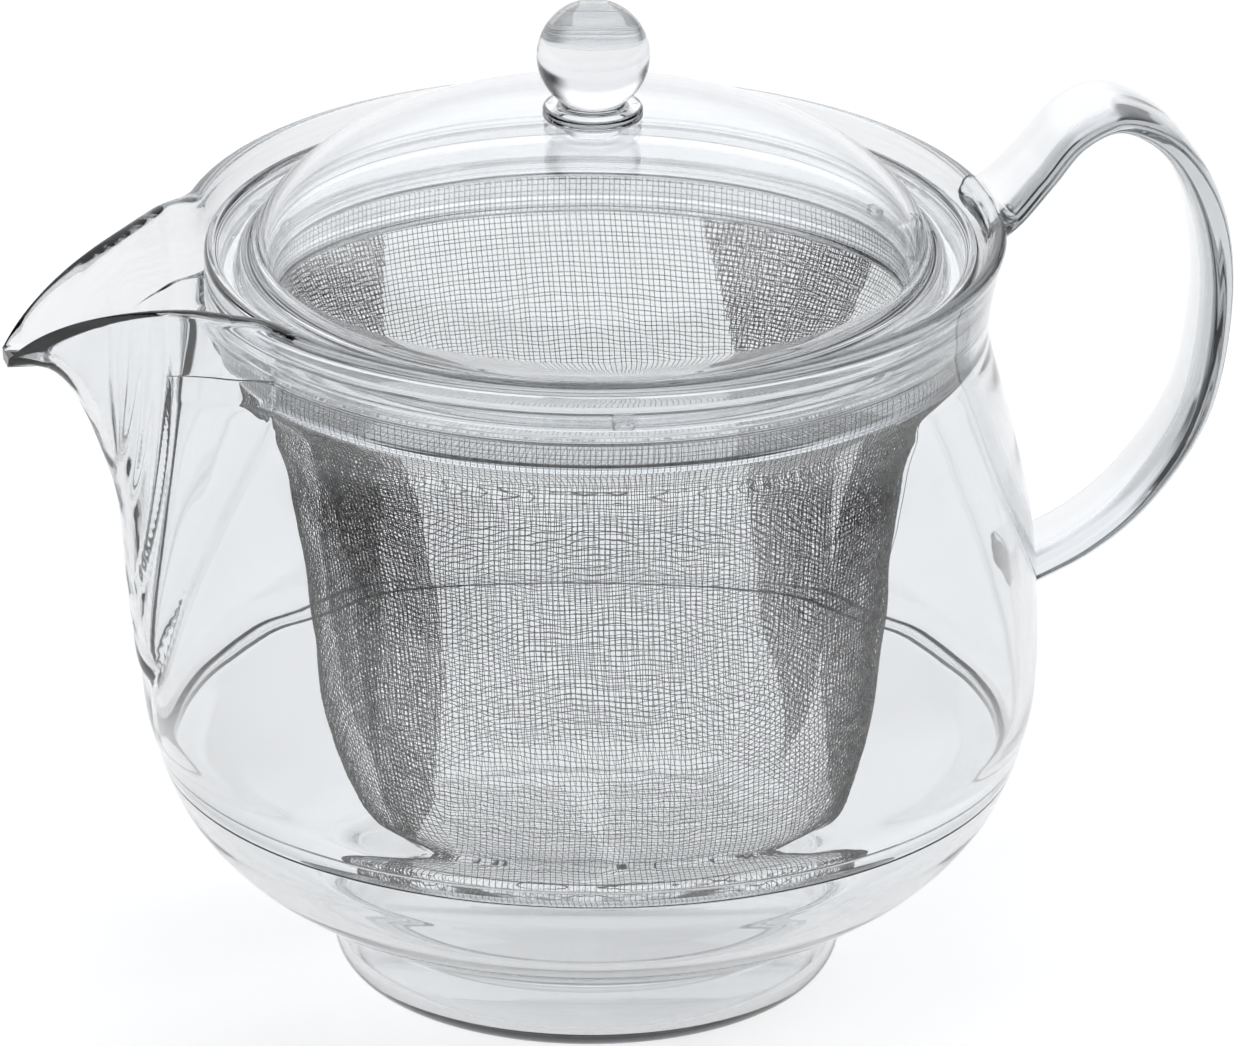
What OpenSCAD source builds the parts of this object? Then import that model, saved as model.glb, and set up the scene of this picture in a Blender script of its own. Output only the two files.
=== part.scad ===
// Clear footed teapot with an open pouring beak, a strap handle, a domed lid
// with a ball knob, and a lift-out strainer of folded wire mesh.
// Millimetres. Origin on the pot's axis at the plane it stands on, +Z up,
// the beak points to -X and the handle to +X.

/* [Pot] */
// Outer radius of the pot at its widest
belly_r = 67.3; // [66:0.1:69]
// Outer radius of the rim
rim_r = 62.1; // [61.5:0.1:63]
// Outer radius of the neck where it is narrowest
waist_r = 59.6; // [59.2:0.1:60]
// Height of the rim above the table
rim_h = 118.6; // [117:0.1:120]
// Height of the narrowest part of the neck
waist_h = 104.6; // [103:0.1:105.5]
// Height of the weld between the upper shell and the base bowl
seam_h = 35.8; // [34:0.1:37]
// Outer radius at the weld
seam_r = 64.6; // [64:0.1:65.2]
// Wall thickness of the pot
wall = 2.4; // [2:0.1:2.6]

/* [Foot] */
// Outer radius of the foot
foot_r = 38; // [36:0.5:39]
// Height at which the foot meets the bowl
foot_h = 12.4; // [11.5:0.1:13]
// Radius of the foot's rounded lower corner
foot_corner = 6.5; // [5:0.5:7]

/* [Beak] */
// Distance from the pot's axis to the tip of the beak
beak_reach = 89.6; // [86:0.1:92]
// Height of the underside of the beak's tip
beak_tip_h = 104.2; // [103:0.1:105]
// Half width of the beak where it leaves the rim
beak_half_w = 23.4; // [22:0.1:24.5]

/* [Handle] */
// Distance from the pot's axis to the middle of the handle's outer run
handle_reach = 95.4; // [92:0.1:98]
// Height of the middle of the strap at the top of the loop
handle_top = 131.6; // [129:0.1:134]
// Height at which the strap meets the pot's side
handle_foot = 60; // [57:0.5:63]
// Width of the strap along the loop
strap_w = 14.5; // [12:0.5:15.5]
// Thickness of the strap at its thickest
strap_t = 5; // [4:0.1:5.5]

/* [Strainer] */
// Outer radius of the strainer's ring
ring_r = 58; // [57.6:0.1:58.1]
// Height of the ledge in the neck that carries the ring
ledge_h = 107.6; // [107.2:0.1:108.6]
// Thickness of the mesh where it is a single sheet
mesh_t = 0.6; // [0.5:0.1:0.8]
// Height of the underside of the mesh basket
mesh_bottom = 18.6; // [18:0.1:24]

/* [Lid] */
// Outer radius of the dome at its base
dome_r = 51; // [50:0.1:51.4]
// Height of the flange's upper face above the table
flange_h = 115.2; // [115:0.1:116]
// Height of the dome's crown above the table
crown_h = 136.8; // [135:0.1:138]
// Diameter of the ball knob
knob_d = 17; // [15:0.5:19]

/* [Hidden] */
$fn = 96;
rib_r = 56;             // inner radius of the neck's rib under the ledge
rib_drop = 3.4;         // height of the rib's straight inner face
gap = 0.4;              // sideways play between the pot and what drops into it
rest_gap = 0.3;         // play under a part that rests on another
weld_lap = 2.4;         // how far the bowl's tongue stands up inside the shell
ring_t = 2;             // thickness of the ring's flange
ring_skirt_r = rib_r - gap;
ring_bore_r = 52.2;     // opening of the strainer's ring
mesh_top_r = 52.9;      // radius at which the mesh is clamped
clamp_h = 102.2;        // underside of the clamp ring
lid_under = 113.1;      // underside of the lid's flange
dome_t = 2;             // wall of the dome
peg_r = 3.2;            // peg of the knob in the dome's crown
ball_h = 146.5;         // height of the ball's centre
fold_turn = -8;         // the four folded zones are turned by this about the axis

// A smooth curve through the points p, n steps for each stretch
function smooth(p, n) = [
    for (i = [0 : len(p) - 2]) for (k = [0 : n - 1])
        let (a = i > 0 ? p[i - 1] : 2 * p[0] - p[1],
             b = p[i],
             c = p[i + 1],
             d = i < len(p) - 2 ? p[i + 2] : 2 * p[i + 1] - p[i],
             t = k / n)
        0.5 * (2 * b + (c - a) * t + (2 * a - 5 * b + 4 * c - d) * t * t
               + (3 * b - a - 3 * c + d) * t * t * t),
    p[len(p) - 1]
];
// The curve p, drawn upwards, moved towards the axis by t
function inset(p, t) = [
    for (i = [0 : len(p) - 1])
        let (d = p[min(i + 1, len(p) - 1)] - p[max(i - 1, 0)])
        p[i] + t * [-d[1], d[0]] / norm(d)
];
// An arc about c from angle a0 to a1
function arc(c, r, a0, a1, n = 8) = [
    for (i = [0 : n]) c + r * [cos(a0 + (a1 - a0) * i / n), sin(a0 + (a1 - a0) * i / n)]
];
function rev(p) = [for (i = [len(p) - 1 : -1 : 0]) p[i]];

// Pot outline, radius and height, from the weld up to the rim
body_line = smooth([
    [seam_r, seam_h],
    [belly_r - 0.5, 44],
    [belly_r, 55],
    [belly_r - 1, 72],
    [belly_r - 4.4, 88],
    [waist_r + 0.5, 99],
    [waist_r, waist_h],
    [waist_r + 1, rim_h - 7],
    [rim_r, rim_h - 1]
], 4);
// Bowl outline from the top of the foot up to the weld
bowl_line = smooth([
    [foot_r, foot_h],
    [foot_r + 4, foot_h + 1],
    [47.6, 16.2],
    [55.2, 21.6],
    [61.2, 28.6],
    [seam_r, seam_h]
], 4);

// ---- beak: lip half width, lip height and keel height by distance from the axis
lip_w = smooth([
    [40, beak_half_w],
    [57, beak_half_w],
    [66, beak_half_w - 3.6],
    [75, beak_half_w - 9.2],
    [83, beak_half_w - 13.5],
    [beak_reach - 2.2, beak_half_w - 17.2],
    [beak_reach, 3.6]
], 4);
lip_z = smooth([
    [40, rim_h],
    [67, rim_h],
    [75, rim_h - 1],
    [83, rim_h - 5.2],
    [beak_reach - 2.4, rim_h - 9.8],
    [beak_reach, beak_tip_h + 2.4]
], 4);
keel_z = smooth([
    [40, 50],
    [62, 52],
    [belly_r, 60],
    [70, 71.5],
    [72, 80.6],
    [75.2, 90],
    [78.6, 97.8],
    [82, 102.6],
    [85.5, 104.6],
    [beak_reach, beak_tip_h]
], 4);
beak_round = 0.58;      // how full the beak's section is: 1 is a plain V
columns = 72;           // columns of the shell's grid, closer together at the beak
outer_rows = 16;        // rows of its outer face, closer together at the rim

function slope(x, table) = lookup(x + 0.5, table) - lookup(x - 0.5, table);
// The beak's wall grows thinner towards its tip
function thin(x, t) = t * (1 - 0.4 * max(0, (x - waist_r) / (beak_reach - waist_r)));
// Half width of the beak at distance x and height z, its walls moved inwards by t
function beak_half(x, z, t) =
    let (keel = lookup(x, keel_z) + thin(x, t) * sqrt(1 + pow(slope(x, keel_z), 2)),
         lip = max(lookup(x, lip_z), keel + 0.5),
         half = lookup(x, lip_w) - thin(x, t) * sqrt(1 + pow(slope(x, lip_w), 2)),
         s = (z - keel) / (lip - keel))
    s < 0 ? -1 : max(half, 0) * pow(min(s, 1), beak_round);
// Farthest the beak reaches at the angle a from its middle line, at height z
function beak_far(a, z, t) =
    let (hits = [for (x = [beak_reach - thin(beak_reach, t) : -0.25 : 45])
                 if (x * tan(abs(a)) <= beak_half(x, z, t)) x])
    len(hits) > 0 ? hits[0] / cos(a) : 0;
function column_angle(j) =
    let (u = 2 * j / columns - 1)
    180 * sign(u) * pow(abs(u), 1.5);
// Height of the lip at the angle a
function lip_height(a) =
    abs(a) > 40 ? rim_h : lookup(beak_far(a, 2 * rim_h, 0) * cos(a), lip_z);
function squeeze(z, top) = seam_h + (z - seam_h) * (top - seam_h) / (rim_h - seam_h);
function on_axis(a, r, z) = [-r * cos(a), -r * sin(a), z];

body_by_height = [for (p = body_line) [p[1], p[0]]];
// Heights of the outer rows and points of the inner rows, on a column away from the beak
outer_z = [for (i = [0 : outer_rows])
    seam_h + (rim_h - 0.3 - seam_h) * (1 - pow(1 - i / outer_rows, 1.6))];
inner_line = concat(
    [[rim_r - 1, rim_h], [rim_r - 2.4, rim_h - 0.4], [ring_r + gap + 0.8, rim_h - 1.6],
     [ring_r + gap, ledge_h], [rib_r, ledge_h - 0.15], [rib_r, ledge_h - rib_drop],
     [rib_r + 1.2, ledge_h - rib_drop - 1.8]],
    [for (z = [100, 94, 88, 80, 72, 62, 52, 44]) [lookup(z, body_by_height) - wall, z]],
    [[seam_r - 0.6, seam_h + weld_lap], [seam_r - 0.9, seam_h]]);

module pot_shell() {
    rows = outer_rows + 1 + len(inner_line);
    grid = [
        for (j = [0 : columns - 1])
            let (a = column_angle(j),
                 top = lip_height(a),
                 near = abs(a) < 40)
            each concat(
                [for (z = outer_z)
                    let (h = squeeze(z, top), r = lookup(h, body_by_height))
                    on_axis(a, near ? max(r, beak_far(a, h, 0)) : r, h)],
                [for (p = inner_line)
                    let (h = squeeze(p[1], top))
                    on_axis(a, near ? max(p[0], beak_far(a, h, wall)) : p[0], h)])
    ];
    color([0.93, 0.96, 0.97, 0.35])
        polyhedron(
            points = grid,
            faces = [
                for (j = [0 : columns - 1]) for (i = [0 : rows - 1])
                    let (k = (j + 1) % columns,
                         p = j * rows + i, q = j * rows + (i + 1) % rows,
                         u = k * rows + i, v = k * rows + (i + 1) % rows)
                    each [[p, q, v], [p, v, u]]
            ],
            convexity = 8);
}

// Everything inside the pot's outer line, without the beak
module shell_block() {
    rotate_extrude()
        polygon(concat([[0, seam_h]], body_line, [[rim_r - 1, rim_h], [0, rim_h]]));
}

module base_bowl() {
    outer = concat(
        arc([foot_r - foot_corner, foot_corner], foot_corner, -90, 0), bowl_line);
    inner = inset(outer, wall);
    floor_h = 3.2;          // height of the well's floor inside the foot
    color([0.92, 0.95, 0.96, 0.35])
        rotate_extrude()
            polygon(concat(
                [[0, 0]],
                outer,
                [[seam_r - 1.4, seam_h], [seam_r - 1.1, seam_h + weld_lap],
                 [seam_r - 2.4, seam_h + weld_lap], [seam_r - 2.6, seam_h]],
                rev([for (p = inner) if (p[1] > floor_h && p[1] < seam_h - 1) p]),
                [[foot_r - foot_corner, floor_h], [0, floor_h]]));
}

// ---- handle: middle line of the strap, with its width and thickness at each point
strap_line = smooth([
    [56, 0, 114.5, strap_w + 8, strap_t - 1],
    [62.5, 0, 118, strap_w + 5.5, strap_t - 1.2],
    [68, 0, 123.6, strap_w + 4, strap_t - 1.4],
    [73.4, 0, handle_top - 2, strap_w + 3.5, strap_t - 1.4],
    [80.2, 0, handle_top, strap_w + 3, strap_t - 1.4],
    [88.4, 0, handle_top - 5.4, strap_w + 1.5, strap_t - 0.8],
    [94, 0, handle_top - 16.6, strap_w, strap_t],
    [handle_reach, 0, handle_top - 31, strap_w - 1, strap_t],
    [92.4, 0, handle_foot + 24, strap_w - 1, strap_t],
    [84.6, 0, handle_foot + 11.6, strap_w - 1, strap_t],
    [75, 0, handle_foot + 3.6, strap_w - 1, strap_t],
    [62, 0, handle_foot - 2, strap_w, strap_t]
], 3);
strap_sides = 12;

module strap() {
    n = len(strap_line);
    rings = [
        for (i = [0 : n - 1])
            let (p = strap_line[i],
                 a = strap_line[max(i - 1, 0)],
                 b = strap_line[min(i + 1, n - 1)],
                 along = [b[0] - a[0], 0, b[2] - a[2]] / norm([b[0] - a[0], 0, b[2] - a[2]]),
                 out = [along[2], 0, -along[0]])
            for (k = [0 : strap_sides - 1])
                let (u = 360 * (k + 0.5) / strap_sides,
                     e = 0.55,
                     across = sign(cos(u)) * pow(abs(cos(u)), e),
                     thick = sign(sin(u)) * pow(abs(sin(u)), e))
                [p[0], p[1], p[2]] + out * thick * p[4] / 2 + [0, across * p[3] / 2, 0]
    ];
    polyhedron(
        points = rings,
        faces = concat(
            [[for (k = [0 : strap_sides - 1]) k]],
            [for (i = [0 : n - 2]) for (k = [0 : strap_sides - 1])
                let (c = i * strap_sides + k, d = i * strap_sides + (k + 1) % strap_sides)
                each [[c, d + strap_sides, d], [c, c + strap_sides, d + strap_sides]]],
            [[for (k = [strap_sides - 1 : -1 : 0]) (n - 1) * strap_sides + k]]),
        convexity = 6);
}

module handle() {
    color([0.93, 0.95, 0.97, 0.4])
        difference() {
            strap();
            shell_block();
        }
}

// ---- strainer
module strainer_ring() {
    flange = ledge_h + rest_gap;
    rim = lid_under - rest_gap;     // the lid rests on this raised rim
    color([0.9, 0.93, 0.95, 0.4]) {
        rotate_extrude()
            polygon([
                [ring_bore_r, flange + ring_t],
                [ring_bore_r, flange],
                [mesh_top_r + mesh_t / 2, flange],
                [mesh_top_r + mesh_t / 2, clamp_h + 0.4],
                [ring_skirt_r, clamp_h + 0.4],
                [ring_skirt_r, flange],
                [ring_r, flange],
                [ring_r, rim - 0.6],
                [ring_r - 0.6, rim],
                [ring_r - 1.6, rim],
                [ring_r - 2, flange + ring_t]]);
        for (a = [22, 142, 262])
            rotate([0, 0, a])
                translate([ring_r - 4.6, -1.6, flange + ring_t])
                    cube([2.8, 3.2, 1.2]);
    }
}

module mesh_clamp_ring() {
    color([0.9, 0.93, 0.95, 0.4])
        rotate_extrude()
            polygon([
                [ring_bore_r - 1.8, clamp_h],
                [mesh_top_r - mesh_t / 2 - 0.4, clamp_h],
                [mesh_top_r - mesh_t / 2, clamp_h + 0.4],
                [mesh_top_r - mesh_t / 2, ledge_h + rest_gap],
                [ring_bore_r - 1.8, ledge_h + rest_gap]]);
}

// Middle line of the mesh, from the middle of its floor up to the clamp
mesh_line = concat(
    smooth([
        [0, mesh_bottom],
        [16, mesh_bottom + 0.6],
        [25.5, mesh_bottom + 3],
        [33, mesh_bottom + 8.6],
        [38.4, mesh_bottom + 17],
        [41.7, mesh_bottom + 28],
        [43.2, mesh_bottom + 41],
        [44.6, mesh_bottom + 54],
        [47, mesh_bottom + 66],
        [50.4, mesh_bottom + 76],
        [mesh_top_r - 0.3, clamp_h - 1.2]
    ], 3),
    [[mesh_top_r, clamp_h + 0.4], [mesh_top_r, ledge_h]]);

module mesh_basket() {
    fold_t = 0.5;      // the folded-over layers lie outside the sheet
    folds = 4;
    fold_span = 30;
    side = [for (p = mesh_line) if (p[1] > mesh_bottom + 26 && p[1] < clamp_h - 1) p];
    color([0.66, 0.66, 0.65]) {
        rotate_extrude()
            polygon(concat(
                [[0, mesh_bottom - mesh_t / 2]],
                [for (i = [1 : len(mesh_line) - 1]) inset(mesh_line, -mesh_t / 2)[i]],
                rev([for (i = [1 : len(mesh_line) - 1]) inset(mesh_line, mesh_t / 2)[i]]),
                [[0, mesh_bottom + mesh_t / 2]]));
        for (k = [0 : folds - 1])
            rotate([0, 0, fold_turn + 45 - fold_span / 2 + 360 * k / folds])
                rotate_extrude(angle = fold_span)
                    polygon(concat(
                        inset(side, -mesh_t / 2 - fold_t), rev(inset(side, -mesh_t / 2 + 0.1))));
    }
}

// ---- lid
// Outer line of the dome from its crown down to its base: an ellipse, a little fuller
function dome_line(shrink, n = 16) = [
    for (i = [0 : n])
        let (a = 90 * i / n)
        [(dome_r - shrink) * sin(a),
         flange_h - 1 + (crown_h - flange_h + 1 - shrink) * pow(max(cos(a), 0), 1.06)]
];

module lid_dome() {
    skirt_h = 108.4;
    color([0.94, 0.96, 0.98, 0.3])
        difference() {
            rotate_extrude()
                polygon(concat(
                    dome_line(0),
                    [[dome_r + 0.5, flange_h - 0.4], [dome_r + 2.2, flange_h],
                     [ring_r - 1.6, flange_h], [ring_r - 1.3, flange_h + 0.6],
                     [ring_r - 0.4, flange_h + 0.6], [ring_r, flange_h],
                     [ring_r, lid_under], [ring_bore_r - 0.6, lid_under],
                     [ring_bore_r - 0.6, skirt_h + 0.5], [ring_bore_r - 1.1, skirt_h],
                     [dome_r - dome_t, skirt_h]],
                    rev(dome_line(dome_t))));
            cylinder(h = 2 * rim_h, r = peg_r);
        }
}

module lid_knob() {
    crown = crown_h;
    collar_r = 7.6;
    neck_r = 5.2;
    color([0.88, 0.9, 0.93, 0.5])
        rotate_extrude()
            polygon(concat(
                [[0, crown - dome_t - 1.4], [peg_r + 1.2, crown - dome_t - 1.4],
                 [peg_r + 1.2, crown - dome_t], [peg_r, crown - dome_t], [peg_r, crown],
                 [collar_r - 0.3, crown - 0.2], [collar_r - 0.8, crown + 0.5],
                 [collar_r, crown + 1.5], [collar_r - 0.6, crown + 1.9], [neck_r, crown + 1.5]],
                arc([0, ball_h], knob_d / 2, asin((crown + 2.6 - ball_h) / (knob_d / 2)), 90, 24)));
}

pot_shell();
base_bowl();
handle();
strainer_ring();
mesh_clamp_ring();
mesh_basket();
lid_dome();
lid_knob();
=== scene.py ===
"""Clear footed teapot with an open pouring beak, a strap handle, a domed lid with a ball knob
and a lift-out strainer of folded wire mesh.

Shapes are worked out in millimetres, and become metres when a mesh is made. The pot's axis is Z,
the beak points to -X and the handle to +X.
"""

import bmesh
import bpy
import numpy as np
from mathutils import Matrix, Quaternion, Vector


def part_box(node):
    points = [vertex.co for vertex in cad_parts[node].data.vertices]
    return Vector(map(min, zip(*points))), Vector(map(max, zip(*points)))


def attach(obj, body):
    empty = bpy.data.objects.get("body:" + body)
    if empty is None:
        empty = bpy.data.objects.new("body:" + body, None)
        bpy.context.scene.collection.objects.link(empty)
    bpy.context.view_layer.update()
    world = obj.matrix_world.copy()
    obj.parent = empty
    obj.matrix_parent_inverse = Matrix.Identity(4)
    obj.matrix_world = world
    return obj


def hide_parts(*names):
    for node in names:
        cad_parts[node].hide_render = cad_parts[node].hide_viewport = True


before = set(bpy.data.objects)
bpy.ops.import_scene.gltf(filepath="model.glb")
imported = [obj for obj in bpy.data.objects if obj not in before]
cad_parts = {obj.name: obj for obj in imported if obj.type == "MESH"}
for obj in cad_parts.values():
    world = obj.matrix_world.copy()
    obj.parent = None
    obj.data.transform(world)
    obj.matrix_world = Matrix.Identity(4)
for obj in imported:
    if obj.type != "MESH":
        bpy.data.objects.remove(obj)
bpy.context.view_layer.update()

MM = 0.001                          # metres in a millimetre


def box_mm(node):
    """Lowest and highest corner of a CAD node, in millimetres."""
    low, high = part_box(node)
    return np.array(low) / MM, np.array(high) / MM


# ---- driving sizes, read from the frame
shell_low, shell_high = box_mm("pot_shell")
ring_low, ring_high = box_mm("strainer_ring")
clamp_low, clamp_high = box_mm("mesh_clamp_ring")
basket_low = box_mm("mesh_basket")[0]
dome_low, dome_high = box_mm("lid_dome")
knob_low, knob_high = box_mm("lid_knob")

SEAM_H, RIM_H = shell_low[2], shell_high[2]
BEAK_REACH = -shell_low[0]
WALL = 2.4                          # wall of the pot
BELLY_R = 67.3                      # outer radius at the widest
WAIST_R = 59.6                      # outer radius of the neck at its narrowest
RIM_R = 62.1                        # outer radius at the rim
SEAM_R = 64.6                       # outer radius at the weld
LEDGE_H = ring_low[2] + 5           # ledge that carries the ring
RING_R = ring_high[0]
BEAK_FILLET = 11.0                  # width over which the beak's side blends into the pot's
FOOT_R = 38.0
FOOT_CORNER = 6.5
WIRE_R = 0.062                      # radius of the strainer's wire
PITCH = 0.82                        # distance between wires
FOLD_TURN = np.radians(-4)          # the four folds are turned by this about the axis
KNOB_R = knob_high[0]
BALL_H = knob_high[2] - KNOB_R


# ---------------------------------------------------------------- curves
def smooth(points, steps=16):
    """A Catmull-Rom curve through the points, with the given number of steps for each stretch."""
    p = np.array(points, float)
    ends = np.vstack([2 * p[:1] - p[1:2], p, 2 * p[-1:] - p[-2:-1]])
    a, b, c, d = ends[:-3, None], ends[1:-2, None], ends[2:-1, None], ends[3:, None]
    t = (np.arange(steps) / steps)[None, :, None]
    run = 0.5 * (2 * b + (c - a) * t + (2 * a - 5 * b + 4 * c - d) * t ** 2
                 + (3 * b - a - 3 * c + d) * t ** 3)
    return np.vstack([run.reshape(-1, p.shape[1]), p[-1:]])


def inset(line, depth):
    """The curve, drawn upwards, moved towards the axis by depth along its own normal."""
    d = np.gradient(line, axis=0)
    normal = np.stack([-d[:, 1], d[:, 0]], 1) / np.linalg.norm(d, axis=1, keepdims=True)
    return line + depth * normal


def arc(centre, radius, start, end, steps=12):
    """Points on a circle in the (radius, height) plane, from one angle to another in degrees."""
    a = np.radians(np.linspace(start, end, steps + 1))
    return np.array(centre) + radius * np.stack([np.cos(a), np.sin(a)], 1)


def eased(corners, steps=5):
    """A closed outline whose corners (radius, height, cut) are rounded: a parabola leaves each side
    at the distance cut from the corner and meets the next side at the same distance."""
    c = np.array(corners, float)
    p, cut = c[:, :2], c[:, 2:]
    to_last, to_next = np.roll(p, 1, 0) - p, np.roll(p, -1, 0) - p
    a = p + to_last / np.linalg.norm(to_last, axis=1, keepdims=True) * cut
    b = p + to_next / np.linalg.norm(to_next, axis=1, keepdims=True) * cut
    t = np.linspace(0, 1, steps)[None, :, None]
    run = (1 - t) ** 2 * a[:, None] + 2 * t * (1 - t) * p[:, None] + t ** 2 * b[:, None]
    flat = run.reshape(-1, 2)
    keep = np.linalg.norm(flat - np.roll(flat, 1, 0), axis=1) > 1e-4
    return flat[keep]


def plain(line):
    """Outline points that aren't rounded: each gets a cut of nothing."""
    return np.hstack([line, np.zeros((len(line), 1))])


# ---------------------------------------------------------------- meshes
def grid_quads(rows, columns, close_rows=False, close_columns=False):
    """Faces of a grid of points: each joins a point, its right neighbour and the two in the next row.
    A closed direction runs on to its start."""
    i = np.arange(rows if close_rows else rows - 1)[:, None]
    j = np.arange(columns if close_columns else columns - 1)[None, :]
    right, down = (j + 1) % columns, (i + 1) % rows
    corners = [i * columns + j, i * columns + right, down * columns + right, down * columns + j]
    return np.stack(corners, -1).reshape(-1, 4)


def outwards(points, quads):
    """The faces, turned round if the volume they enclose comes out negative."""
    a, b, c, d = (points[quads[:, k]] for k in range(4))
    volume = np.einsum("ij,ij->", a, np.cross(b, c)) + np.einsum("ij,ij->", a, np.cross(c, d))
    return quads if volume > 0 else quads[:, ::-1]


def make_piece(name, points, quads, material, body, replaces=(), merge=False):
    """An object at the origin from points in millimetres and faces, riding on a body."""
    mesh = bpy.data.meshes.new(name)
    mesh.vertices.add(len(points))
    mesh.vertices.foreach_set("co", (points * MM).astype(np.float32).ravel())
    mesh.loops.add(quads.size)
    mesh.loops.foreach_set("vertex_index", quads.astype(np.int32).ravel())
    mesh.polygons.add(len(quads))
    mesh.polygons.foreach_set("loop_start", np.arange(0, quads.size, 4, dtype=np.int32))
    mesh.polygons.foreach_set("use_smooth", np.ones(len(quads), bool))
    mesh.update(calc_edges=True)
    mesh.validate()
    if merge:
        work = bmesh.new()
        work.from_mesh(mesh)
        bmesh.ops.remove_doubles(work, verts=work.verts, dist=1e-7)
        work.to_mesh(mesh)
        work.free()
    mesh.materials.append(material)
    piece = bpy.data.objects.new(name, mesh)
    bpy.context.scene.collection.objects.link(piece)
    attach(piece, body)
    if replaces:
        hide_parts(*replaces)
    return piece


def turned(name, outline, material, body, replaces=(), columns=256):
    """A closed outline of (radius, height) carried round the axis."""
    a = np.linspace(0, 2 * np.pi, columns, endpoint=False)[None, :]
    r, z = outline[:, :1], outline[:, 1:]
    points = np.stack([r * np.cos(a), r * np.sin(a), z + 0 * a], -1).reshape(-1, 3)
    quads = grid_quads(len(outline), columns, close_rows=True, close_columns=True)
    on_axis = outline[:, 0] < 1e-6
    both = np.repeat(on_axis & np.roll(on_axis, -1), columns)
    quads = outwards(points, quads[~both])
    return make_piece(name, points, quads, material, body, replaces, merge=True)


# ---------------------------------------------------------------- materials
def new_material(name):
    """An empty material with its shader and the object's own coordinates."""
    material = bpy.data.materials.new(name)
    material.use_nodes = True
    nodes = material.node_tree.nodes
    return material, nodes, nodes["Principled BSDF"], nodes.new("ShaderNodeTexCoord")


CLEAR, GREY = (0.99, 0.995, 1.0), (0.5, 0.52, 0.53)     # the plastic's surface tint, and its tint in depth
BENDING = 1.54                      # the plastic's refractive index
RIPPLE_LENGTH = 0.03                # metres from crest to crest of the mould's ripple
HAZE, HAZE_SCALE = 0.035, 90        # roughest spot of the surface, and how closely such spots follow
STEEL_GRAIN = 700                   # how closely light and darker stretches follow along the wire
STEEL_DARK, STEEL_LIGHT = (0.06, 0.058, 0.055), (0.22, 0.215, 0.21)


def clear_plastic(name, density, ripple):
    """Polished clear copolyester: bends light and takes a little of it along its depth, with a faint
    ripple left by the mould, and a very light haze that comes and goes."""
    material, nodes, shader, place = new_material(name)
    link = material.node_tree.links.new
    shader.inputs["Base Color"].default_value = (*CLEAR, 1)
    shader.inputs["Transmission Weight"].default_value = 1
    shader.inputs["IOR"].default_value = BENDING
    waves = nodes.new("ShaderNodeTexNoise")
    waves.inputs["Scale"].default_value = 1 / RIPPLE_LENGTH
    waves.inputs["Detail"].default_value = 1
    bump = nodes.new("ShaderNodeBump")
    bump.inputs["Strength"].default_value = 1
    bump.inputs["Distance"].default_value = ripple
    link(place.outputs["Object"], waves.inputs["Vector"])
    link(waves.outputs["Fac"], bump.inputs["Height"])
    link(bump.outputs["Normal"], shader.inputs["Normal"])
    haze = nodes.new("ShaderNodeTexNoise")
    haze.inputs["Scale"].default_value = HAZE_SCALE
    spread = nodes.new("ShaderNodeMapRange")
    spread.inputs["To Min"].default_value = 0.0
    spread.inputs["To Max"].default_value = HAZE
    link(place.outputs["Object"], haze.inputs["Vector"])
    link(haze.outputs["Fac"], spread.inputs["Value"])
    link(spread.outputs["Result"], shader.inputs["Roughness"])
    depth = nodes.new("ShaderNodeVolumeAbsorption")
    depth.inputs["Color"].default_value = (*GREY, 1)
    depth.inputs["Density"].default_value = density
    link(depth.outputs["Volume"], nodes["Material Output"].inputs["Volume"])
    return material


def drawn_steel(name):
    """Fine stainless wire: metal with light and darker stretches along each wire."""
    material, nodes, shader, place = new_material(name)
    link = material.node_tree.links.new
    shader.inputs["Metallic"].default_value = 1
    shader.inputs["Roughness"].default_value = 0.34
    stretch = nodes.new("ShaderNodeTexNoise")
    stretch.inputs["Scale"].default_value = STEEL_GRAIN
    tone = nodes.new("ShaderNodeValToRGB")
    tone.color_ramp.elements[0].position = 0.3
    tone.color_ramp.elements[0].color = (*STEEL_DARK, 1)
    tone.color_ramp.elements[1].position = 0.7
    tone.color_ramp.elements[1].color = (*STEEL_LIGHT, 1)
    link(place.outputs["Object"], stretch.inputs["Vector"])
    link(stretch.outputs["Fac"], tone.inputs["Fac"])
    link(tone.outputs["Color"], shader.inputs["Base Color"])
    return material


clear_body = clear_plastic("clear_body", 88, 0.00006)
clear_handle = clear_plastic("clear_handle", 70, 0.00003)
clear_ring = clear_plastic("clear_ring", 20, 0.00002)
clear_lid = clear_plastic("clear_lid", 26, 0.00005)
clear_knob = clear_plastic("clear_knob", 14, 0.00001)
wire_steel = drawn_steel("wire_steel")


# ---------------------------------------------------------------- pot shell
THROAT_HALF, TIP_HALF = 24, 2.4             # half width of the beak where it leaves the pot, and at its tip
THROAT_ROUND = 1.5                          # how softly the throat's width turns into the straight lips
LIP_TAPER = np.tan(np.radians(35))          # the straight lips close in on the middle line at this angle
DIP_START, DIP_LONG, DIP_DEEP = 60, 33, 22.2    # where the lips start to fall, and their curve's half axes
body_line = smooth([
    (SEAM_R, SEAM_H), (BELLY_R - 0.5, 44), (BELLY_R, 55), (BELLY_R - 1, 72), (BELLY_R - 4.4, 88),
    (WAIST_R + 0.5, 99), (WAIST_R, RIM_H - 14), (WAIST_R + 1, RIM_H - 7), (RIM_R, RIM_H - 1)])
keel_z = smooth([(40, 50), (62, 52), (67.3, 60), (70, 71.5), (72, 80.6), (75.2, 90), (78.6, 97.8),
                 (82, 102.6), (85.5, 104.6), (BEAK_REACH, 104.2)])
side_line = inset(body_line, WALL)
side_line = side_line[(side_line[:, 1] > SEAM_H + 9) & (side_line[:, 1] < 95)][::8]
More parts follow.
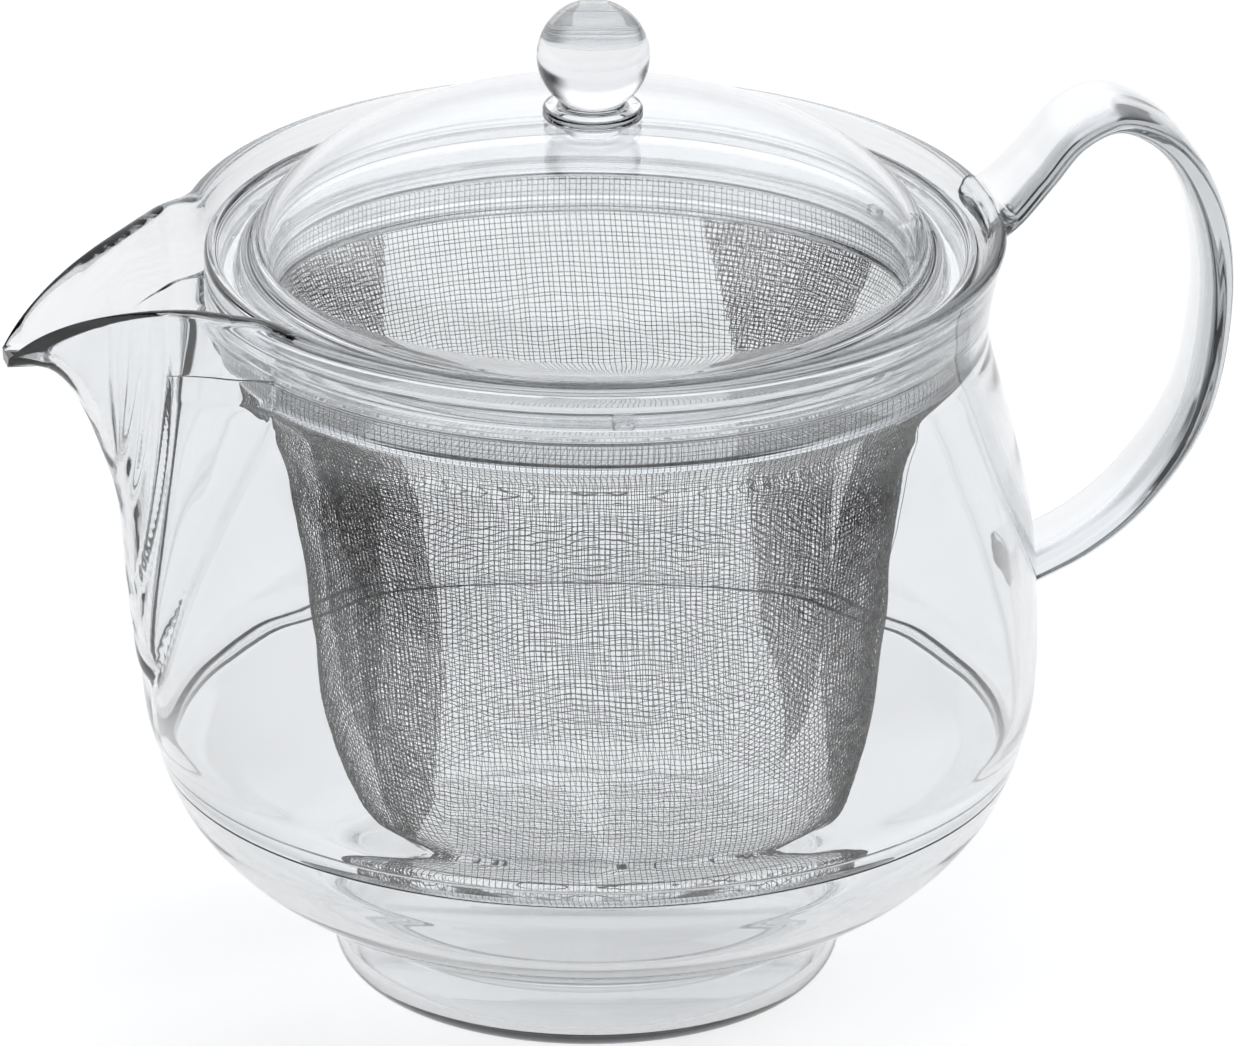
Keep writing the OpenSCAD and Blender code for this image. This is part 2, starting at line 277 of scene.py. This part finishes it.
inner_line = np.vstack([
    [(SEAM_R - 1.2, SEAM_H), (SEAM_R - 1.15, SEAM_H + 2.4), (SEAM_R - 1.0, SEAM_H + 5)], side_line,
    [(57.7, 99), (57.2, LEDGE_H - 5.2), (56.4, LEDGE_H - 4.2), (56, LEDGE_H - 3.2), (56, LEDGE_H - 0.5),
     (56.4, LEDGE_H - 0.1), (57.9, LEDGE_H), (58.4, LEDGE_H + 0.5), (58.7, LEDGE_H + 4),
     (59.2, RIM_H - 2.4), (59.7, RIM_H - 1.2)]])


def at(table, x):
    """Height or width from a curve's table at the distance x."""
    return np.interp(x, table[:, 0], table[:, 1])


def lip_half(x):
    """Half width of the lips at distance x: straight from the tip back, then round into the throat."""
    straight = TIP_HALF + LIP_TAPER * (BEAK_REACH - x)
    return (straight + THROAT_HALF - np.hypot(straight - THROAT_HALF, THROAT_ROUND)) / 2


def lip_height(x):
    """Height of the lips at distance x: level with the rim, then down along part of an ellipse."""
    part = np.clip((x - DIP_START) / DIP_LONG, 0, 1)
    return RIM_H - DIP_DEEP * (1 - np.sqrt(1 - part ** 2))


def thin(x, depth):
    """The beak's wall, thinner towards the tip."""
    return depth * (1 - 0.4 * np.clip((x - WAIST_R) / (BEAK_REACH - WAIST_R), 0, 1))


def beak_half(x, z, depth):
    """Half width of the beak at distance x and height z: the lip's half width times a power of the
    share of the way from keel to lip, with its walls moved inwards by depth. The power falls towards
    the tip, where the section is a fuller trough."""
    slope_k = at(keel_z, x + 0.5) - at(keel_z, x - 0.5)
    slope_w = lip_half(x + 0.5) - lip_half(x - 0.5)
    keel = at(keel_z, x) + thin(x, depth) * np.sqrt(1 + slope_k ** 2)
    lip = np.maximum(lip_height(x), keel + 0.5)
    half = np.maximum(lip_half(x) - thin(x, depth) * np.sqrt(1 + slope_w ** 2), 0)
    share = (z - keel) / (lip - keel)
    power = 0.58 - 0.44 * np.clip((x - 76) / 10, 0, 1)
    return np.where(share < 0, -1, half * np.clip(share, 0, 1) ** power)


def beak_far(a, z, depth, samples=600):
    """Farthest the beak reaches at the angle a from its middle line, at height z: the last x where
    x tan a is still within the beak's half width, found between two samples."""
    x = np.linspace(45, BEAK_REACH - thin(BEAK_REACH, depth), samples)
    room = beak_half(x, z[..., None], depth) - x * np.tan(np.abs(a))[..., None]
    inside = room >= 0
    last = samples - 1 - np.argmax(inside[..., ::-1], -1)
    following = np.minimum(last + 1, samples - 1)
    here = np.take_along_axis(room, last[..., None], -1)[..., 0]
    there = np.take_along_axis(room, following[..., None], -1)[..., 0]
    part = np.where(following > last, here / np.maximum(here - there, 1e-9), 0)
    step = x[1] - x[0]
    found = (x[last] + np.clip(part, 0, 1) * step * (following > last)) / np.cos(a)
    return np.where(inside.any(-1), found, 0)


def soft_max(a, b, k):
    """The larger of a and b, with the corner where they cross rounded over a width k."""
    h = np.clip(0.5 + 0.5 * (a - b) / k, 0, 1)
    return b + (a - b) * h + k * h * (1 - h)


def pot_shell(columns=640, outer_rows=110, lip_rows=11):
    """The shell as rings round the axis. A ring's radius is the larger of the pot's outline and the
    beak's reach in that direction, with the corner between the two rounded; the rim's height follows
    the lip. Rows run up the outside, over a half-round lip and down the inside. Columns lie closer
    together at the beak, and rows at the rim."""
    u = 2 * np.arange(columns) / columns - 1
    a = np.pi * np.sign(u) * np.abs(u) ** 1.7
    near = np.abs(a) < np.radians(40)
    reach = beak_far(a[near], np.full(near.sum(), 2 * RIM_H), 0)
    top = np.full(columns, RIM_H)
    top[near] = lip_height(reach * np.cos(a[near]))

    def ring_radius(z, radius, depth):
        """The pot's radius at the heights z, and near the beak the beak's reach blended into it."""
        out = radius + 0 * z
        pour = beak_far(np.broadcast_to(a[near], z[:, near].shape), z[:, near], depth)
        out[:, near] = np.where(pour > 0, soft_max(pour, out[:, near], BEAK_FILLET), out[:, near])
        return out

    def squeezed(z):
        """Heights between the weld and the rim, pressed down to end at the lip."""
        return SEAM_H + (z - SEAM_H) * (top - SEAM_H) / (RIM_H - SEAM_H)

    to_tip = np.clip((np.degrees(np.abs(a)) - 3) / 17, 0, 1)
    round_lip = 0.35 + 0.75 * to_tip ** 2 * (3 - 2 * to_tip)
    share = 1 - (1 - np.linspace(0, 1, outer_rows)) ** 1.5
    z_out = squeezed(SEAM_H + share[:, None] * (RIM_H - round_lip - SEAM_H))
    r_out = ring_radius(z_out, at(body_line[:, ::-1], z_out), 0)
    inner = smooth(inner_line, 5)[::-1]
    z_in = squeezed(np.minimum(inner[:, 1:], RIM_H - round_lip))
    r_in = ring_radius(z_in, inner[:, :1], WALL)
    turn = np.linspace(0, np.pi, lip_rows + 2)[1:-1, None]
    middle, half = (r_out[-1] + r_in[0]) / 2, (r_out[-1] - r_in[0]) / 2
    r_lip = middle + half * np.cos(turn)
    z_lip = z_out[-1] + (z_in[0] - z_out[-1]) * (1 - np.cos(turn)) / 2 + round_lip * np.sin(turn)
    r, z = np.vstack([r_out, r_lip, r_in]), np.vstack([z_out, z_lip, z_in])
    points = np.stack([-r * np.cos(a), -r * np.sin(a), z], -1).reshape(-1, 3)
    quads = outwards(points, grid_quads(len(r), columns, close_rows=True, close_columns=True))
    return make_piece("pot_shell_clear", points, quads, clear_body, "pot", ["pot_shell"])


# ---------------------------------------------------------------- base bowl
GROOVE, WELD = 0.2, 0.1             # depth of the groove at the weld, and how far shell and bowl run together
bowl_line = smooth([(FOOT_R, 10.6), (FOOT_R + 0.5, 11.9), (FOOT_R + 1.8, 12.8), (FOOT_R + 4.4, 13.6),
                    (47.6, 16.2), (55.2, 21.6), (61.2, 28.6), (SEAM_R, SEAM_H)])


def base_bowl():
    """Foot, bowl and the tongue that stands up inside the shell, as one outline round the axis, flat
    underneath. A shallow groove runs round the outside at the weld."""
    floor = 3.2                         # upper face of the bowl's floor
    corner = arc((FOOT_R - FOOT_CORNER, FOOT_CORNER), FOOT_CORNER, -90, 0, 24)
    outer = np.vstack([corner, bowl_line])
    inner = inset(outer, WALL)
    inner = inner[(inner[:, 1] > floor) & (inner[:, 1] < SEAM_H - 1)]
    outer[-1] += (-GROOVE, 0)
    edge = outer[-2:-1] * 0.15 + outer[-1:] * 0.85 + (GROOVE * 0.8, 0)
    outer = np.vstack([outer[:-1], edge, outer[-1:]])
    outline = np.vstack([
        plain([(0, 0)]), plain(outer),
        [(SEAM_R - 1.5, SEAM_H + WELD, 0.1), (SEAM_R - 1.1, SEAM_H + 2.4, 0.3),
         (SEAM_R - 2.4, SEAM_H + 2.4, 0.3), (SEAM_R - 2.6, SEAM_H, 0.3)],
        plain(inner[::-1]), [(31.5, floor, 2.0)], plain([(0, floor)])])
    return turned("base_bowl_clear", eased(outline), clear_body, "pot", ["base_bowl"], 320)


# ---------------------------------------------------------------- handle
strap_line = smooth([
    (56, 114.5, 22.5, 4), (62.5, 118, 20, 3.8), (68, 123.6, 18.5, 3.6), (73.4, 129.6, 18, 3.6),
    (80.2, 131.6, 17.5, 3.6), (88.4, 126.2, 16, 4.2), (94, 115, 14.5, 5), (95.4, 100.6, 13.5, 5),
    (92.4, 84, 13.5, 5), (84.6, 71.6, 13.5, 5), (75, 63.6, 13.5, 5), (62, 58, 14.5, 5)], 24)


def handle(sides=64, along=220, caps=4):
    """A strap with a rounded oblong section carried along the loop. Each lengthwise line is cut where
    it meets a surface 1 mm inside the pot's outer face, and the ends are closed over that surface."""
    x, z, width, depth = strap_line.T
    tangent = np.gradient(strap_line[:, :2], axis=0)
    tangent /= np.linalg.norm(tangent, axis=1, keepdims=True)
    u = 2 * np.pi * (np.arange(sides) + 0.5) / sides
    across = np.sign(np.cos(u)) * np.abs(np.cos(u)) ** 0.5
    thick = np.sign(np.sin(u)) * np.abs(np.sin(u)) ** 0.7
    run = np.stack([
        x[:, None] + tangent[:, 1:] * thick * depth[:, None] / 2,
        across * width[:, None] / 2,
        z[:, None] - tangent[:, :1] * thick * depth[:, None] / 2], -1)

    def wall_room(p):
        """How far a point lies outside the surface that the strap ends on."""
        return np.hypot(p[..., 0], p[..., 1]) - (at(body_line[:, ::-1], p[..., 2]) - 1)

    free = wall_room(run) > 0
    rows = np.arange(len(run))[:, None]
    first = np.where(free, rows, len(run)).min(0)
    last = np.where(free, rows, -1).max(0)
    share = np.linspace(0, 1, along)[:, None]
    spot = first + share * (last - first)
    low = np.clip(np.floor(spot).astype(int), 0, len(run) - 2)
    part = (spot - low)[..., None]
    column = np.arange(sides)[None]
    tube = run[low, column] * (1 - part) + run[low + 1, column] * part

    def cap(ring):
        """Smaller and smaller rings towards the middle of an end, each laid on the wall's surface."""
        centre = ring.mean(0)
        rings = np.stack([centre + (ring - centre) * (1 - k / caps) for k in range(1, caps + 1)])
        flat = np.hypot(rings[..., 0], rings[..., 1])
        target = np.minimum(at(body_line[:, ::-1], rings[..., 2]) - 1, flat + 2)
        rings[..., :2] *= (target / flat)[..., None]
        return rings

    points = np.concatenate([cap(tube[0])[::-1], tube, cap(tube[-1])])
    quads = grid_quads(len(points), sides, close_columns=True)
    flat = points.reshape(-1, 3)
    return make_piece("handle_clear", flat, outwards(flat, quads), clear_handle, "pot",
                      ["handle"], merge=True)


# ---------------------------------------------------------------- strainer
def strainer_ring():
    """Flange with a raised rim, and a skirt that hangs down round the mesh."""
    flange, bore, skirt = LEDGE_H + 0.3, 52.2, 55.6
    seat = 53.2
    outline = eased([
        (bore, flange + 2, 0.4), (bore, flange + 0.04, 0.15), (seat, flange + 0.04, 0.1),
        (seat, ring_low[2], 0.2), (skirt, ring_low[2], 0.3), (skirt, flange, 0.3),
        (RING_R, flange, 0.4), (RING_R, ring_high[2], 0.5), (RING_R - 1.8, ring_high[2], 0.5),
        (RING_R - 2.4, flange + 2, 0.6)])
    return turned("strainer_ring_clear", outline, clear_ring, "strainer", ["strainer_ring"])


def ring_lugs():
    """Three small lugs on top of the flange, each a box with soft edges: the signed 0.35th powers of a
    sphere's cosines and sines."""
    half = np.array([1.4, 1.6, 0.7])    # half sizes: outwards, round the ring, upwards
    centre = np.array([RING_R - 3.2, 0, LEDGE_H + 2.8])
    rows, columns = 17, 32
    up = np.radians(np.linspace(-90, 90, rows))[:, None]
    round_way = np.radians(np.linspace(0, 360, columns + 1))[None, :-1]

    def soft(value):
        """A cosine or sine raised to a small power, with its sign kept."""
        return np.sign(value) * np.abs(value) ** 0.35

    unit = np.stack([soft(np.cos(up)) * soft(np.cos(round_way)), soft(np.cos(up)) * soft(np.sin(round_way)),
                     soft(np.sin(up)) + 0 * round_way], -1)
    box = unit.reshape(-1, 3) * half + centre
    grid = grid_quads(rows, columns, close_columns=True)
    points = np.vstack([turned_by(box, np.radians(angle)) for angle in (22, 142, 262)])
    quads = np.vstack([grid + k * len(box) for k in range(3)])
    return make_piece("strainer_ring_lugs_clear", points, outwards(points, quads), clear_ring, "strainer",
                      merge=True)


def clamp_ring():
    """The inner ring that holds the mesh against the skirt."""
    inner, outer = 50.4, 52.6
    low, high = clamp_low[2], clamp_high[2] - 0.04
    outline = eased([(inner, low, 0.4), (outer - 0.4, low, 0.2), (outer, low + 0.5, 0.2),
                     (outer, high, 0.15), (inner, high, 0.4)])
    return turned("mesh_clamp_ring_clear", outline, clear_ring, "strainer", ["mesh_clamp_ring"])


mesh_floor = basket_low[2] + 0.3
mesh_line = smooth([
    (0, mesh_floor), (18, mesh_floor + 0.4), (28.2, mesh_floor + 2.4), (35.4, mesh_floor + 8),
    (39.6, mesh_floor + 17), (41.9, mesh_floor + 28), (43.2, mesh_floor + 41), (44.6, mesh_floor + 54),
    (47, mesh_floor + 66), (50.4, mesh_floor + 76), (52.9, 102.2), (52.9, 107)], 12)
mesh_run = np.concatenate([[0], np.cumsum(np.linalg.norm(np.diff(mesh_line, axis=0), axis=1))])
mesh_slope = np.gradient(mesh_line, axis=0)
mesh_slope /= np.linalg.norm(mesh_slope, axis=1, keepdims=True)
MESH_R = mesh_line[-1, 0]
FLOOR_R = 31.0                      # the weave changes from the floor's to the side's at this radius


LEAN = 2.4                          # how far the cup's foot lies towards the handle


def settled(points):
    """The cup as it hangs: its foot lies towards the handle by LEAN, and the soft weave is nowhere quite
    even, but waves in and out and up and down by a few tenths of a millimetre below the clamp."""
    x, y, z = points.T
    share = np.clip((101 - z) / (101 - mesh_floor), 0, 1)
    loose = np.clip((98 - z) / 14, 0, 1)
    turn, reach = np.arctan2(y, x), np.hypot(x, y) / MESH_R
    out = 0.35 * np.sin(5 * turn + 1 + 0.05 * z) * np.sin(0.11 * z) + 0.14 * np.sin(13 * turn + 0.31 * z)
    up = (0.35 * np.sin(4 * turn + 0.09 * z) + 0.3 * np.sin(13 * turn - 0.19 * z)
          + 0.2 * np.sin(23 * turn + 0.4 * z) + 0.12 * np.sin(47 * turn - 0.9 * z))
    out, up = out * loose * reach, up * loose * reach
    return np.stack([x + out * np.cos(turn) + LEAN * share ** 0.8, y + out * np.sin(turn), z + up], 1)


def on_mesh(run):
    """Radius, height and the two parts of the outward normal at a distance along the mesh's profile."""
    r, z = np.interp(run, mesh_run, mesh_line[:, 0]), np.interp(run, mesh_run, mesh_line[:, 1])
    dr, dz = np.interp(run, mesh_run, mesh_slope[:, 0]), np.interp(run, mesh_run, mesh_slope[:, 1])
    return r, z, dz, -dr


def wire(points, normals, sides=3):
    """A thin tube round a line of points, as its rings of points and their number. It is thinner on
    the cup's floor, and reaches its full width 10 mm above it."""
    tangent = np.gradient(points, axis=0)
    tangent /= np.linalg.norm(tangent, axis=1, keepdims=True)
    side = np.cross(tangent, normals)
    side /= np.linalg.norm(side, axis=1, keepdims=True)
    up = np.cross(side, tangent)
    a = 2 * np.pi * np.arange(sides) / sides + np.pi / 2
    radius = WIRE_R * (0.6 + 0.4 * np.clip((points[:, 2] - mesh_floor) / 10, 0, 1))
    tube = points[:, None] + radius[:, None, None] * (np.cos(a)[None, :, None] * side[:, None]
                                                      + np.sin(a)[None, :, None] * up[:, None])
    return tube.reshape(-1, 3), len(points)


def wires_piece(name, wires, closed=False):
    """Many wires as one piece: each is a run of rings of three points, joined lengthwise."""
    all_points, all_quads, count = [], [], 0
    for points, rings in wires:
        all_points.append(points)
        all_quads.append(grid_quads(rings, 3, close_rows=closed, close_columns=True) + count)
        count += len(points)
    quads = np.vstack(all_quads)[:, ::-1]
    points = settled(np.vstack(all_points))
    return make_piece(name, points, quads, wire_steel, "strainer", ["mesh_basket"])


def turned_by(points, angle):
    """Points turned about the axis."""
    c, s = np.cos(angle), np.sin(angle)
    x, y, z = points[:, 0], points[:, 1], points[:, 2]
    return np.stack([c * x - s * y, s * x + c * y, z], 1)


UNEVEN = 0.075                      # spread of the wires' spacing
WAVE = WIRE_R * 0.9                 # how far a wire swings to pass over and under the next


def upright_wires(quarter):
    """Wires that run down one side, across the floor and up the other side. Each lies in an upright
    plane at its own distance from the axis, and ends at the diagonal folds if it doesn't reach the
    floor. One ring of points per crossing, alternately outside and inside the mesh."""
    wires = []
    top = mesh_run[-1]
    count = int(MESH_R / np.sqrt(2) / PITCH)
    uneven = np.random.default_rng(5 + int(quarter)).normal(0, UNEVEN, 2 * count + 1)
    for k in range(-count, count + 1):
        s = k * PITCH + uneven[k + count]
        at_fold = abs(s) * np.sqrt(2)
        lowest = at_fold if at_fold > FLOOR_R else abs(s)
        start = np.interp(lowest, mesh_line[:, 0], mesh_run)
        run = top - PITCH * np.arange(int((top - start) / PITCH) + 1)
        r, z, nr, nz = on_mesh(run)
        y = np.sqrt(np.maximum(r ** 2 - s ** 2, 0))
        swing = WAVE * np.where((np.arange(len(run)) + k) % 2, 1, -1)
        for way in (1, -1):
            across = np.stack([np.full_like(y, s), -way * y, z], 1)
            normal = np.stack([nr * s / np.maximum(r, 1e-6), -way * nr * y / np.maximum(r, 1e-6), nz], 1)
            points = across + normal * (way * swing)[:, None]
            turn = quarter + FOLD_TURN
            wires.append(wire(turned_by(points, turn), turned_by(normal, turn)))
    return wires


def ring_wires():
    """Level wires round the side, one for each pitch along the profile."""
    wires = []
    start = np.interp(FLOOR_R, mesh_line[:, 0], mesh_run)
    uneven = np.random.default_rng(9)
    for j, run in enumerate(np.arange(mesh_run[-1] - 0.2, start, -PITCH)):
        r, z, nr, nz = on_mesh(np.array([run + uneven.normal(0, UNEVEN)]))
        count = 2 * int(np.pi * r[0] / PITCH)
        a = 2 * np.pi * np.arange(count) / count
        normal = np.stack([nr * np.cos(a), nr * np.sin(a), nz + 0 * a], 1)
        points = np.stack([r * np.cos(a), r * np.sin(a), z + 0 * a], 1)
        points = points + normal * (WAVE * np.where((np.arange(count) + j) % 2, 1, -1))[:, None]
        tangent = np.stack([-np.sin(a), np.cos(a), 0 * a], 1)
        up = np.cross(tangent, normal)
        corner = 2 * np.pi * np.arange(3) / 3 + np.pi / 2
        tube = points[:, None] + WIRE_R * (np.cos(corner)[None, :, None] * up[:, None]
                                           + np.sin(corner)[None, :, None] * normal[:, None])
        wires.append((tube.reshape(-1, 3), count))
    return wires


FOLD_FOOT = mesh_floor + 5
FOLD_OUTER = np.radians(18)         # how far a flap reaches away from its crease on the outer side
# Reach of a flap on its inner side, in degrees: the widest at two folds, the widest at the other two,
# and the wide one by height
FLAP_WIDE, FLAP_NARROW = 18.5, 5.0
flap_inner = np.array([(FOLD_FOOT, -17.0), (40, 0.0), (55, 4.0), (79, 8.0), (101, FLAP_WIDE)])


def fold_wires(lift, lean):
    """The weave of one folded-over layer, at all four folds: two families of straight wires on the
    flattened side, leaning by lean and by a right angle more, cut to the flap's outline. A flap lies
    wider to one side of its fold, and the two at the back open out towards the clamp."""
    wires = []
    low, high = np.interp(FOLD_FOOT, mesh_line[:, 1], mesh_run), mesh_run[-1] - 5.5
    reach = int((high - low + 20) / PITCH)
    t = PITCH * np.arange(-reach, reach)
    for quarter in range(4):
        centre = FOLD_TURN + np.pi / 4 + quarter * np.pi / 2
        way = 1 if quarter % 2 == 0 else -1
        widest = FLAP_WIDE if quarter < 2 else FLAP_NARROW
        for family in range(2):
            angle = lean + family * np.pi / 2
            along = np.array([np.sin(angle), np.cos(angle)])
            aside = np.array([np.cos(angle), -np.sin(angle)])
            for k in range(-reach, reach):
                flat = np.array([0, low]) + aside * k * PITCH + along * t[:, None]
                run = np.clip(flat[:, 1], low, high)
                r, z, nr, nz = on_mesh(run)
                turn = way * flat[:, 0] / r
                inner = np.radians(np.minimum(at(flap_inner, z), widest))
                keep = (flat[:, 1] > low) & (flat[:, 1] < high) & (turn < inner) & (turn > -FOLD_OUTER)
                if keep.sum() < 4:
                    continue
                a = centre + flat[:, 0] / r
                swing = WAVE * np.where((np.arange(len(t)) + k + family) % 2, 1, -1)
                normal = np.stack([nr * np.cos(a), nr * np.sin(a), nz], 1)
                points = np.stack([r * np.cos(a), r * np.sin(a), z], 1) + normal * (lift + swing)[:, None]
                wires.append(wire(points[keep], normal[keep]))
    return wires


# ---------------------------------------------------------------- lid
DOME_R = 51.0
FLANGE_H = dome_low[2] + 6.8
CROWN_H = dome_high[2]


def dome_line(shrink, steps=40):
    """The dome from its crown to its base: a quarter ellipse, its height falling as the 1.06th power
    of the cosine."""
    a = np.linspace(0, np.pi / 2, steps + 1)
    height = CROWN_H - FLANGE_H + 1 - shrink
    z = FLANGE_H - 1 + height * np.maximum(np.cos(a), 0) ** 1.06
    return np.stack([(DOME_R - shrink) * np.sin(a), z], 1)


def lid_dome():
    """Dome, flat flange with a bead at its edge, and a skirt that drops into the strainer's ring."""
    peg, under, skirt = 3.25, FLANGE_H - 2.1, dome_low[2]
    outer, inner = dome_line(0), dome_line(2)
    outer = outer[outer[:, 0] > peg]
    inner = inner[inner[:, 0] > peg]
    crown_out = np.interp(peg, outer[:, 0], outer[:, 1])
    crown_in = np.interp(peg, inner[:, 0], inner[:, 1])
    outline = np.vstack([
        plain([(peg, crown_out)]), plain(outer[:-3]),
        [(DOME_R + 0.6, FLANGE_H, 1.4), (RING_R - 1.9, FLANGE_H, 0.3), (RING_R - 1.3, FLANGE_H + 0.6, 0.3),
         (RING_R - 0.3, FLANGE_H + 0.6, 0.4), (RING_R, FLANGE_H - 0.2, 0.3), (RING_R, under, 0.4),
         (51.6, under, 0.5), (51.6, skirt + 0.4, 0.3), (51.1, skirt, 0.2), (49, skirt, 0.5)],
        plain(inner[::-1]), plain([(peg, crown_in)])])
    return turned("lid_dome_clear", eased(outline), clear_lid, "lid", ["lid_dome"], 320)


def lid_knob():
    """Ball on a neck with a double collar, and a peg through the dome's crown."""
    peg = 3.2
    start = np.degrees(np.arcsin((CROWN_H + 2.6 - BALL_H) / KNOB_R))
    outline = np.vstack([
        plain([(0, knob_low[2])]),
        [(peg + 1.2, knob_low[2], 0.4), (peg + 1.2, CROWN_H - 2, 0.2), (peg, CROWN_H - 2, 0.05),
         (peg, CROWN_H + 0.05, 0.05), (7.3, CROWN_H + 0.05, 0.3), (7.6, CROWN_H + 0.5, 0.2),
         (6.9, CROWN_H + 0.9, 0.2), (7.6, CROWN_H + 1.3, 0.2), (7.2, CROWN_H + 1.9, 0.3),
         (5.2, CROWN_H + 1.9, 0.7)],
        plain(arc((0, BALL_H), KNOB_R, start, 90, 60))])
    return turned("lid_knob_clear", eased(outline), clear_knob, "lid", ["lid_knob"], 160)


# ---------------------------------------------------------------- studio
def add_floor():
    """A pale table top just under the foot."""
    radius, rings, columns = 0.9, 12, 96
    a = np.linspace(0, 2 * np.pi, columns, endpoint=False)
    r = np.linspace(0, radius / MM, rings)[:, None]
    points = np.stack([r * np.cos(a), r * np.sin(a), np.full((rings, columns), -0.3)], -1).reshape(-1, 3)
    mesh = bpy.data.meshes.new("floor")
    quads = grid_quads(rings, columns, close_columns=True)[:, ::-1]
    mesh.from_pydata((points * MM).tolist(), [], quads.tolist())
    material, _, shader, _ = new_material("pale_table")
    shader.inputs["Base Color"].default_value = (0.93, 0.93, 0.93, 1)
    shader.inputs["Roughness"].default_value = 0.9
    shader.inputs["Specular IOR Level"].default_value = 0.1
    shader.inputs["Emission Color"].default_value = (1, 1, 1, 1)
    shader.inputs["Emission Strength"].default_value = 0.18
    mesh.materials.append(material)
    floor = bpy.data.objects.new("floor", mesh)
    bpy.context.scene.collection.objects.link(floor)


def add_light(name, place, size, power):
    """A square soft light that looks at the middle of the pot."""
    light = bpy.data.lights.new(name, "AREA")
    light.shape = "SQUARE"
    light.size = size
    light.energy = power
    lamp = bpy.data.objects.new(name, light)
    bpy.context.scene.collection.objects.link(lamp)
    lamp.location = place
    aim = Vector((0, 0, 0.07)) - Vector(place)
    lamp.rotation_mode = "QUATERNION"
    lamp.rotation_quaternion = aim.to_track_quat("-Z", "Y")
    lamp.visible_camera = lamp.visible_glossy = lamp.visible_transmission = False
    return lamp


def add_world():
    """Studio surround by direction: a bright sweep behind, white overhead, dark towards the room in
    front above the table, and dark at both sides."""
    world = bpy.data.worlds.new("studio")
    bpy.context.scene.world = world
    world.use_nodes = True
    nodes, link = world.node_tree.nodes, world.node_tree.links.new
    place = nodes.new("ShaderNodeTexCoord")
    split = nodes.new("ShaderNodeSeparateXYZ")
    link(place.outputs["Generated"], split.inputs["Vector"])

    def maths(operation, a, b=None):
        node = nodes.new("ShaderNodeMath")
        node.operation = operation
        for socket, value in zip(node.inputs, (a, b)):
            if isinstance(value, (int, float)):
                socket.default_value = value
            elif value is not None:
                link(value, socket)
        return node.outputs["Value"]

    def rise(value, start, end):
        """0 at start, 1 at end, with a smooth step between."""
        node = nodes.new("ShaderNodeMapRange")
        node.interpolation_type = "SMOOTHSTEP"
        node.inputs["From Min"].default_value = start
        node.inputs["From Max"].default_value = end
        link(value, node.inputs["Value"])
        return node.outputs["Result"]

    x, y, z = (split.outputs[k] for k in "XYZ")
    below_softbox = maths("SUBTRACT", 1.0, rise(z, 0.84, 0.93))
    towards_room = rise(maths("MULTIPLY", y, -1.0), -0.15, 0.3)
    front = maths("MULTIPLY", maths("MULTIPLY", towards_room, rise(z, 0.06, 0.2)), below_softbox)
    side = maths("MULTIPLY", maths("MULTIPLY", rise(maths("ABSOLUTE", x), 0.5, 0.78), rise(z, -0.06, 0.03)),
                 below_softbox)
    dark = maths("MAXIMUM", front, side)
    sweep = maths("MULTIPLY", maths("MULTIPLY", rise(y, 0.4, 0.8), rise(z, 0.1, 0.3)), 0.5)
    level = maths("SUBTRACT", maths("ADD", sweep, 1.0), maths("MULTIPLY", dark, 0.94))
    level = maths("MAXIMUM", level, nodes.new("ShaderNodeLightPath").outputs["Is Camera Ray"])
    tone = nodes.new("ShaderNodeCombineColor")
    link(maths("MULTIPLY", level, 0.99), tone.inputs["Red"])
    link(maths("MULTIPLY", level, 1.0), tone.inputs["Green"])
    link(maths("MULTIPLY", level, 1.02), tone.inputs["Blue"])
    link(tone.outputs["Color"], nodes["Background"].inputs["Color"])


def add_camera():
    """A very long lens: the view is nearly parallel."""
    azimuth, elevation, roll = np.radians([-13, 22.5, 0.45])
    distance, view_width = 6.0, 186.2 * MM      # metres to the pot, and how much the view takes in there
    level = np.cos(elevation)
    back = Vector((np.sin(azimuth) * level, -np.cos(azimuth) * level, np.sin(elevation)))
    camera = bpy.data.objects.new("camera", bpy.data.cameras.new("camera"))
    bpy.context.scene.collection.objects.link(camera)
    target = Vector((4.57, -1.06, 71.0)) * MM
    camera.location = target + back * distance
    camera.rotation_mode = "QUATERNION"
    camera.rotation_quaternion = (-back).to_track_quat("-Z", "Y") @ Quaternion((0, 0, 1), roll)
    camera.data.sensor_width = 36
    camera.data.lens = 36 * distance / view_width
    bpy.context.scene.camera = camera


add_camera()
add_floor()
add_world()
LAMP_SIZE, LAMP_POWER = 0.9, 5.2
add_light("soft_left", (-0.7, -0.5, 1.1), LAMP_SIZE, LAMP_POWER)
add_light("soft_right", (0.7, 0.1, 1.2), LAMP_SIZE, LAMP_POWER)

clear_pieces = [pot_shell(), base_bowl(), handle(), strainer_ring(), ring_lugs(), clamp_ring(), lid_dome(),
                lid_knob()]
for clear in clear_pieces:
    clear.visible_shadow = False
    clear.visible_diffuse = False
wires_piece("basket_upright_wires_a", upright_wires(0))
wires_piece("basket_upright_wires_b", upright_wires(np.pi / 2))
wires_piece("basket_ring_wires", ring_wires(), closed=True)
wires_piece("basket_fold_wires_a", fold_wires(0.35, np.radians(4)))
wires_piece("basket_fold_wires_b", fold_wires(0.62, np.radians(-9)))

scene = bpy.context.scene           # light passes through many walls, so its rays may turn many times
scene.view_settings.view_transform = "Standard"
scene.cycles.max_bounces = 28
scene.cycles.transmission_bounces = 28
scene.cycles.glossy_bounces = 8
